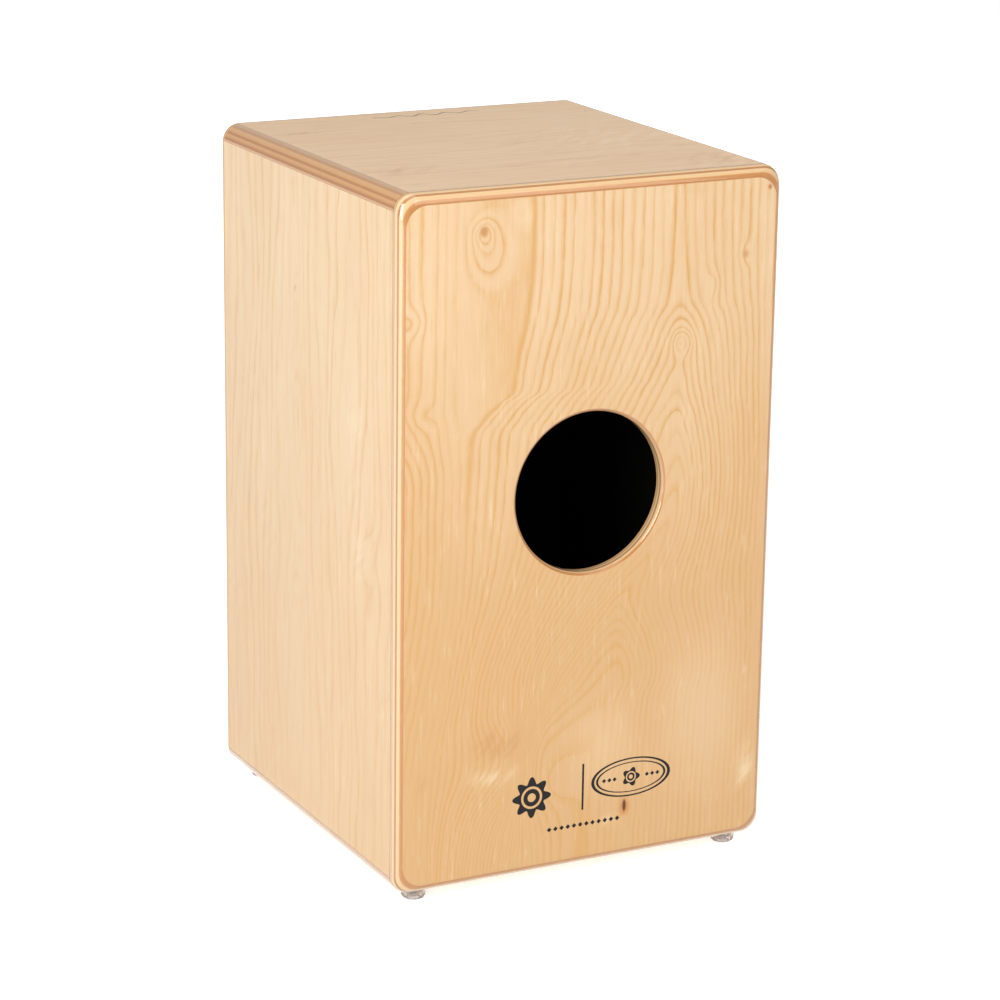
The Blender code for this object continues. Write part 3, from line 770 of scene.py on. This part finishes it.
def finished(name, bm, material, smooth_angle=35.0, bevel=None):
    """The object of a closed mesh, with its edges eased where asked."""
    bmesh.ops.recalc_face_normals(bm, faces=bm.faces)
    mesh = bpy.data.meshes.new(name)
    bm.to_mesh(mesh)
    bm.free()
    mesh.shade_smooth()
    mesh.set_sharp_from_angle(angle=math.radians(smooth_angle))
    mesh.materials.append(material)
    made = bpy.data.objects.new(name, mesh)
    bpy.context.scene.collection.objects.link(made)
    if bevel is not None:
        eased = made.modifiers.new("eased_edges", "BEVEL")
        eased.width = bevel
        eased.segments = 2
        eased.limit_method = "ANGLE"
        eased.angle_limit = math.radians(smooth_angle)
        eased.harden_normals = True
    weighted = made.modifiers.new("flat_faces", "WEIGHTED_NORMAL")
    weighted.keep_sharp = True
    return made


def placed(piece, node, body="body"):
    """The piece stands for a CAD node and moves with its body."""
    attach(piece, body)
    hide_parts(node)
    return piece


def from_cad(node, suffix):
    """A clean copy of a CAD node's mesh: its shared points joined and its flat faces whole."""
    bm = bmesh.new()
    bm.from_mesh(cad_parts[node].data)
    bmesh.ops.remove_doubles(bm, verts=bm.verts, dist=1e-6)
    bmesh.ops.dissolve_limit(bm, angle_limit=math.radians(0.8), verts=bm.verts, edges=bm.edges)
    return f"{node}_{suffix}", bm


def arc(centre, radii, start, end, steps):
    """Points of an elliptic arc, with its angles in degrees."""
    points = []
    for i in range(steps + 1):
        turn = math.radians(start + (end - start) * i / steps)
        points.append((centre[0] + radii[0] * math.cos(turn), centre[1] + radii[1] * math.sin(turn)))
    return points


def rounded_outline(half_width, low, high, radius):
    """An upright rectangle with round corners, as (x, z) points."""
    right = half_width - radius
    points = []
    for i, (x, z) in enumerate(((right, high), (-right, high), (-right, low), (right, low))):
        middle = z - radius if z == high else z + radius
        points += arc((x, middle), (radius, radius), 90 * i, 90 * (i + 1), CORNER_STEPS)
    return points


def ring_of(bm, points):
    return [bm.verts.new(point) for point in points]


def bridge(bm, first, second):
    """Faces between two loops of as many points."""
    count = len(first)
    for i in range(count):
        j = (i + 1) % count
        bm.faces.new((first[i], first[j], second[j], second[i]))


def filled_between(bm, outer, inner):
    """A flat face between an outline and an opening in it."""
    edges = []
    for loop in (outer, inner):
        for i, vert in enumerate(loop):
            pair = (vert, loop[(i + 1) % len(loop)])
            edges.append(bm.edges.get(pair) or bm.edges.new(pair))
    bmesh.ops.triangle_fill(bm, edges=edges, use_beauty=True)


def make_back_panel(wood):
    """The back panel with its rounded rim and the sound hole."""
    bm = bmesh.new()
    inner_face = SEAT_HIGH.y + GLUE_LINE
    loops = []
    for i in range(RIM_STEPS + 1):
        turn = math.radians(90 - 90 * i / RIM_STEPS)
        inward = 1 - math.sin(turn)
        depth = RIM_DEPTH * (1 - math.cos(turn))
        outline = rounded_outline(
            HALF_WIDTH - RIM_SIDE * inward,
            UNDERSIDE + RIM_BOTTOM * inward,
            TOP - RIM_TOP * inward,
            CORNER_ROUND + (FACE_CORNER - CORNER_ROUND) * inward,
        )
        loops.append(ring_of(bm, [(x, BACK - depth, z) for x, z in outline]))
    edge = rounded_outline(HALF_WIDTH, UNDERSIDE, TOP, CORNER_ROUND)
    inner_outline = ring_of(bm, [(x, inner_face, z) for x, z in edge])
    for first, second in zip([inner_outline, *loops], loops):
        bridge(bm, first, second)
    profile = arc((HOLE_RADIUS + HOLE_ROUND, -HOLE_ROUND), (HOLE_ROUND, HOLE_ROUND), 90, 180, HOLE_STEPS)
    profile.append((HOLE_RADIUS, inner_face - BACK))
    hole = []
    for radius, depth in profile:
        points = []
        for k in range(HOLE_SIDES):
            turn = math.tau * k / HOLE_SIDES
            points.append((radius * math.cos(turn), BACK + depth, HOLE_HEIGHT + radius * math.sin(turn)))
        hole.append(ring_of(bm, points))
    for first, second in zip(hole, hole[1:]):
        bridge(bm, first, second)
    filled_between(bm, loops[-1], hole[0])
    filled_between(bm, inner_outline, hole[-1])
    panel = finished("back_panel_birch", bm, wood)
    placed(panel, "back_panel")


def make_boards(woods):
    """Seat, bottom, sides and playing plate, with eased edges and closed glue lines."""
    gap = BACK_LOW.y - SEAT_HIGH.y
    for node in ("seat_panel", "bottom_panel", "left_side_panel", "right_side_panel", "tapa"):
        name, bm = from_cad(node, "birch")
        if "side" in node:
            low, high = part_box(node)
            for vert in bm.verts:
                if vert.co.z > high.z - gap:
                    vert.co.z += gap - GLUE_LINE
                elif vert.co.z < low.z + gap:
                    vert.co.z -= gap - GLUE_LINE
        board = finished(name, bm, woods[node], smooth_angle=28.0, bevel=0.12 * MM)
        placed(board, node)


def make_inner_wood():
    # The bar and the battens take the near-black painted shade of the inside
    wood = painted_shade_wood()
    nodes = ["string_bar"]
    nodes += [f"batten_{level}_{side}" for level in ("bottom", "top") for side in SIDES]
    for node in nodes:
        name, bm = from_cad(node, "painted_shade")
        placed(finished(name, bm, wood, bevel=0.5 * MM), node)


def lathe(bm, profile, centre, sides, axis="z"):
    """Rings of a turned surface. The profile is (radius, distance along the axis) points."""
    rings = []
    for radius, distance in profile:
        ring = []
        for k in range(sides):
            turn = math.tau * k / sides
            spot = (radius * math.cos(turn), radius * math.sin(turn), distance)
            if axis == "y":
                spot = (spot[0], spot[2], spot[1])
            ring.append(bm.verts.new(Vector(centre) + Vector(spot)))
        rings.append(ring)
    for first, second in zip(rings, rings[1:]):
        bridge(bm, first, second)
    return rings


def cross_outline(reach, half_slot):
    """The twelve corners of a cross."""
    points = []
    for k in range(4):
        turn = Matrix.Rotation(math.tau * k / 4, 2)
        for x, y in ((reach, -half_slot), (reach, half_slot), (half_slot, half_slot)):
            points.append(tuple(turn @ Vector((x, y))))
    return points


def hexagon(across_flats):
    radius = across_flats / math.sqrt(3)
    return [(radius * math.cos(math.tau * k / 6), radius * math.sin(math.tau * k / 6)) for k in range(6)]


def cut_drive(bm, face_ring, outline, depth, floor_share, axis):
    """A driver's recess in a screw's flat end: outline is (x, y) about the screw's middle."""
    middle = sum((vert.co for vert in face_ring), Vector()) / len(face_ring)

    def loop(share, distance):
        points = []
        for x, y in outline:
            flat = (x * share, y * share, distance)
            if axis == "y":
                flat = (flat[0], flat[2], flat[1])
            points.append(middle + Vector(flat))
        return ring_of(bm, points)

    rim = loop(1.0, 0.0)
    floor = loop(floor_share, depth)
    filled_between(bm, face_ring, rim)
    bridge(bm, rim, floor)
    bm.faces.new(floor)


def pan_screw(node, name, steel, axis):
    """A pan-head screw with a cross recess and a threaded shank, in the space of its CAD node."""
    low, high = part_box(node)
    centre = (low + high) / 2
    start = low.y if axis == "y" else low.z
    end = high.y if axis == "y" else high.z
    base = Vector((centre.x, 0, centre.z)) if axis == "y" else Vector((centre.x, centre.y, 0))
    radius = (high.x - low.x) / 2
    small = radius < 3 * MM
    head_height = (1.6 if small else 2.0) * MM
    shank = (1.5 if small else 1.75) * MM
    root = shank * 0.72
    pitch = 1.2 * MM
    flat = radius * 0.62
    dome_height = head_height * 0.62
    ease = 0.1 * MM
    under_head = start + head_height

    dome = arc((flat, dome_height), (radius - flat, dome_height), -90, 0, 7)
    profile = [(r, start + distance) for r, distance in dome]
    profile += [(radius, under_head - ease), (radius - ease, under_head), (shank, under_head)]
    reach = under_head
    while reach + pitch < end - 2 * shank:
        profile += [(root, reach + pitch * 0.3), (root, reach + pitch * 0.55)]
        profile.append((shank, reach + pitch))
        reach += pitch
    profile += [(root, reach + pitch * 0.5), (0.15 * MM, end)]

    bm = bmesh.new()
    rings = lathe(bm, profile, base, 32, axis)
    bm.faces.new(rings[-1])
    drive = cross_outline(radius * 0.52, radius * 0.13)
    cut_drive(bm, rings[0], drive, dome_height, 0.6, axis)
    placed(finished(name, bm, steel, smooth_angle=38.0), node)


def make_screws(black, zinc):
    nodes = [f"tapa_screw_{side}_{i}" for side in SIDES for i in range(1, 5)]
    nodes += [f"tapa_screw_{end}_{i}" for end in ("bottom", "top") for i in range(1, 4)]
    for node in nodes:
        pan_screw(node, f"{node}_pan_head", black, "y")
    for end in ENDS:
        for side in SIDES:
            node = f"foot_screw_{end}_{side}"
            pan_screw(node, f"{node}_pan_head", zinc, "z")


def make_feet(plastic):
    """Bumpers with a soft lip round their recess. They narrow a little towards the floor."""
    round_edge = 2.6 * MM
    lip = 0.5 * MM
    ease = 0.4 * MM
    for end in ENDS:
        for side in SIDES:
            node = f"foot_{end}_{side}"
            low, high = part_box(node)
            centre = (low + high) / 2
            radius = (high.x - low.x) / 2
            height = high.z - low.z
            foot = radius - 0.4 * MM
            washer_low, washer_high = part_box(f"foot_washer_{end}_{side}")
            bore = (washer_high.x - washer_low.x) / 2 + 0.4 * MM
            shelf = washer_high.z + 0.2 * MM
            profile = [(FOOT_BORE, height), (radius - ease, height), (radius, height - ease)]
            profile += [(radius - 0.05 * MM, height - 1.3 * MM), (foot + 0.15 * MM, height * 0.55)]
            profile += arc((foot - round_edge, round_edge), (round_edge, round_edge), 0, -90, 8)
            profile += arc((bore + lip, lip), (lip, lip), -90, -180, 4)
            profile += [(bore - 0.15 * MM, shelf), (FOOT_BORE, shelf)]
            bm = bmesh.new()
            rings = lathe(bm, profile, (centre.x, centre.y, 0), ROUND_SIDES)
            bridge(bm, rings[-1], rings[0])
            placed(finished(f"{node}_bumper", bm, plastic, smooth_angle=50.0), node)


def make_washers(zinc):
    """Flat washers with eased edges, in the feet and under the tension screws' heads."""
    bores = {f"foot_washer_{end}_{side}": FOOT_BORE for end in ENDS for side in SIDES}
    bores.update({f"tension_washer_{side}": TENSION_BORE for side in SIDES})
    ease = 0.15 * MM
    for node, inner in bores.items():
        low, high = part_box(node)
        centre = (low + high) / 2
        outer = (high.x - low.x) / 2
        profile = [
            (inner, low.z + ease), (inner + ease, low.z), (outer - ease, low.z), (outer, low.z + ease),
            (outer, high.z - ease), (outer - ease, high.z), (inner + ease, high.z), (inner, high.z - ease),
        ]
        bm = bmesh.new()
        rings = lathe(bm, profile, (centre.x, centre.y, 0), ROUND_SIDES)
        bridge(bm, rings[-1], rings[0])
        placed(finished(f"{node}_zinc", bm, zinc, smooth_angle=30.0), node)


def make_tension_screw(side, steel):
    """A socket-head screw with a real thread, turning on its own body."""
    node = f"tension_screw_{side}"
    low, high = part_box(node)
    centre = (low + high) / 2
    base = (centre.x, centre.y, 0)
    head = (high.x - low.x) / 2
    start, end = low.z + 4.5 * MM, high.z
    pitch, crest, root = 0.8 * MM, 2.48 * MM, 2.05 * MM
    round_edge, crown, ease, knurl = 0.5 * MM, 0.12 * MM, 0.3 * MM, 0.12 * MM
    run_out = 0.6 * MM
    sides, rows_per_turn = 48, 6

    bm = bmesh.new()
    profile = [(head - round_edge, low.z), (head - crown, low.z + crown), (head, low.z + round_edge)]
    profile += [(head, start - ease), (head - ease, start), (root, start)]
    rings = lathe(bm, profile, base, sides)
    for ring in rings[2:4]:
        for vert in ring[1::2]:
            outward = Vector((vert.co.x - centre.x, vert.co.y - centre.y, 0)).normalized()
            vert.co -= outward * knurl
    cut_drive(bm, rings[0], hexagon(4 * MM), 2.5 * MM, 1.0, "z")

    count = int((end - start) / (pitch / rows_per_turn))
    previous = rings[-1]
    for i in range(1, count + 1):
        height = start + (end - start) * i / count
        fade = max(0.0, min(1.0, (end - height) / run_out, (height - start) / run_out))
        ring = []
        for k in range(sides):
            turn = k / sides
            phase = ((height - start) / pitch - turn) % 1.0
            flank = abs(phase * 2 - 1)
            radius = root + (crest - root) * (1 - flank) * fade
            spot = (radius * math.cos(math.tau * turn), radius * math.sin(math.tau * turn))
            ring.append(bm.verts.new((centre.x + spot[0], centre.y + spot[1], height)))
        bridge(bm, previous, ring)
        previous = ring
    bm.faces.new(previous)
    screw = finished(f"{node}_threaded", bm, steel, smooth_angle=50.0)
    placed(screw, node, node)


def make_tensioners(brass, zinc):
    for side in SIDES:
        node = f"tension_carriage_{side}"
        name, bm = from_cad(node, "machined")
        carriage = finished(name, bm, brass, bevel=0.35 * MM)
        placed(carriage, node, node)
        make_tension_screw(side, zinc)


def ball_end(x, height, holder_back, plane, up):
    """One end of a string, from the far pole of its ball, round it and through the holder to the
    bend into the string's plane. Up is 1 or -1, the way that the free string leaves."""
    ball_steps, straight_steps, bend_steps = 8, 12, 6
    neck = 166  # degrees round the ball to where the wire leaves it
    middle = holder_back + 0.3 * MM + BALL
    straight = plane + BEND
    path = []
    for i in range(1, ball_steps + 1):
        turn = math.radians(neck * i / ball_steps)
        path.append(((x, middle + BALL * math.cos(turn), height), BALL * math.sin(turn)))
    for i in range(straight_steps + 1):
        y = middle - BALL + (straight - middle + BALL) * i / straight_steps
        path.append(((x, y, height), CORE if i % 2 else WIRE))
    for i in range(1, bend_steps + 1):
        turn = math.radians(90 * i / bend_steps)
        spot = (x, plane + BEND * (1 - math.sin(turn)), height + up * BEND * (1 - math.cos(turn)))
        path.append((spot, CORE if i % 2 else WIRE))
    return path


def tube(bm, path, sides):
    """A closed round tube through (place, radius) points."""
    rings = []
    for i, (spot, radius) in enumerate(path):
        before = Vector(path[max(i - 1, 0)][0])
        after = Vector(path[min(i + 1, len(path) - 1)][0])
        along = (after - before).normalized()
        across = (Vector((1, 0, 0)) - along * along.x).normalized()
        third = along.cross(across)
        ring = []
        for k in range(sides):
            turn = math.tau * k / sides
            outward = math.cos(turn) * across + math.sin(turn) * third
            ring.append(bm.verts.new(Vector(spot) + radius * outward))
        rings.append(ring)
    for first, second in zip(rings, rings[1:]):
        bridge(bm, first, second)
    bm.faces.new(rings[0])
    bm.faces.new(rings[-1])


def make_string(side, leg, bronze):
    """A wound string between its two balls. Its lower end is placed at the carriage."""
    node = f"string_{side}_pair_{leg}"
    low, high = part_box(node)
    x_low, x_high = (high.x - BALL, low.x + BALL) if leg == "left" else (low.x + BALL, high.x - BALL)
    plane = low.y + 0.5 * MM
    bar_middle = (BAR_LOW.z + BAR_HIGH.z) / 2
    carriage_low, carriage_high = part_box(f"tension_carriage_{side}")
    carriage_middle = (carriage_low.z + carriage_high.z) / 2

    low_end = ball_end(x_low, carriage_middle, carriage_high.y, plane, 1)
    high_end = ball_end(x_high, bar_middle, BAR_HIGH.y, plane, -1)
    foot = Vector(low_end[-1][0])
    head = Vector(high_end[-1][0])
    count = int((head - foot).length / (WRAP / 2))
    free = [(foot.lerp(head, i / count), WIRE if i % 2 else CORE) for i in range(1, count)]
    bm = bmesh.new()
    tube(bm, [*low_end, *free, *high_end[::-1]], STRING_SIDES)
    string = finished(f"{node}_wound", bm, bronze, smooth_angle=60.0)
    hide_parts(node)
    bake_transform(string)


# Studio


def towards(azimuth, elevation):
    """The direction to a place round the object: azimuth 0 is in front of it and 180 behind."""
    turn, rise = math.radians(azimuth), math.radians(elevation)
    return Vector((math.sin(turn) * math.cos(rise), -math.cos(turn) * math.cos(rise), math.sin(rise)))


def softbox(name, azimuth, elevation, distance, size, power, colour):
    """A rectangular lamp aimed at the middle of the body."""
    direction = towards(azimuth, elevation)
    light = bpy.data.lights.new(name, "AREA")
    light.shape = "RECTANGLE"
    light.size, light.size_y = size
    light.energy = power
    light.color = colour
    lamp = bpy.data.objects.new(name, light)
    lamp.location = Vector((0, 0, MIDDLE_HEIGHT)) + direction * distance
    lamp.rotation_euler = direction.to_track_quat("Z", "Y").to_euler()
    bpy.context.scene.collection.objects.link(lamp)


def make_world():
    """An even pale room that is a little darker overhead."""
    world = bpy.data.worlds.new("studio")
    bpy.context.scene.world = world
    world.use_nodes = True
    tree = world.node_tree
    background = tree.nodes["Background"]
    coordinates = tree.nodes.new("ShaderNodeTexCoord")
    split = tree.nodes.new("ShaderNodeSeparateXYZ")
    tree.links.new(coordinates.outputs["Generated"], split.inputs[0])
    height = Value(tree, split.outputs[2])
    colour = ramp(smooth(height, -0.2, 1.0), [(0.0, WHITE), (1.0, (0.68, 0.65, 0.62, 1.0))])
    plug(colour, background.inputs["Color"])
    background.inputs["Strength"].default_value = WORLD_STRENGTH


def make_floor():
    bm = bmesh.new()
    bmesh.ops.create_circle(bm, cap_ends=True, segments=64, radius=FLOOR_RADIUS)
    mesh = bpy.data.meshes.new("floor")
    bm.to_mesh(mesh)
    bm.free()
    floor = bpy.data.objects.new("floor", mesh)
    floor.location.z = cad_low.z
    bpy.context.scene.collection.objects.link(floor)
    made, shader, place = new_material("white_floor")
    shade = noise(place, (1.5, 1.5, 1.0), 2.0)
    colour = mixed(smooth(shade, -1.0, 1.0), (0.90, 0.90, 0.90, 1.0), (0.93, 0.93, 0.93, 1.0))
    plug(colour, shader.inputs["Base Color"])
    shader.inputs["Roughness"].default_value = 0.9
    shader.inputs["Specular IOR Level"].default_value = 0.1
    shader.inputs["Emission Color"].default_value = WHITE
    shader.inputs["Emission Strength"].default_value = FLOOR_GLOW
    mesh.materials.append(made)
    floor.visible_diffuse = False


def make_camera():
    """The viewpoint: from behind, on the +X side and a little above."""
    data = bpy.data.cameras.new("camera")
    data.lens = CAMERA_LENS
    data.sensor_width = CAMERA_SENSOR
    camera = bpy.data.objects.new("camera", data)
    direction = towards(CAMERA_AZIMUTH, CAMERA_ELEVATION)
    camera.location = Vector(CAMERA_CENTRE) + direction * CAMERA_DISTANCE
    forward = (Vector(CAMERA_AIM) - camera.location).normalized()
    right = forward.cross(Vector((0, 0, 1))).normalized()
    up = right.cross(forward)
    roll = math.radians(CAMERA_ROLL)
    right, up = right * math.cos(roll) + up * math.sin(roll), up * math.cos(roll) - right * math.sin(roll)
    camera.rotation_euler = Matrix((right, up, -forward)).transposed().to_euler()
    bpy.context.scene.collection.objects.link(camera)
    bpy.context.scene.camera = camera


def main():
    make_camera()
    make_world()
    make_floor()
    for lamp in LAMPS:
        softbox(*lamp)
    bpy.context.scene.view_settings.view_transform = "Standard"

    woods = make_birch_materials()
    zinc = metal(
        "zinc_plate", linear(150, 150, 148), linear(206, 207, 206), 0.3, speck=linear(120, 118, 112),
    )
    black = metal(
        "black_oxide", linear(16, 16, 17), linear(44, 43, 43), 0.42, speck=linear(96, 92, 88),
    )
    brass = metal(
        "machined_brass", linear(176, 138, 72), linear(220, 184, 110), 0.28, (60.0, 900.0, 900.0),
    )
    bronze = metal(
        "wound_bronze_wire", linear(156, 104, 58), linear(212, 158, 98), 0.3, (400.0, 400.0, 5000.0),
    )
    make_back_panel(woods["back_panel"])
    make_boards(woods)
    make_inner_wood()
    make_screws(black, zinc)
    make_feet(bumper_plastic())
    make_washers(zinc)
    make_tensioners(brass, zinc)
    for side in SIDES:
        for leg in SIDES:
            make_string(side, leg, bronze)


main()
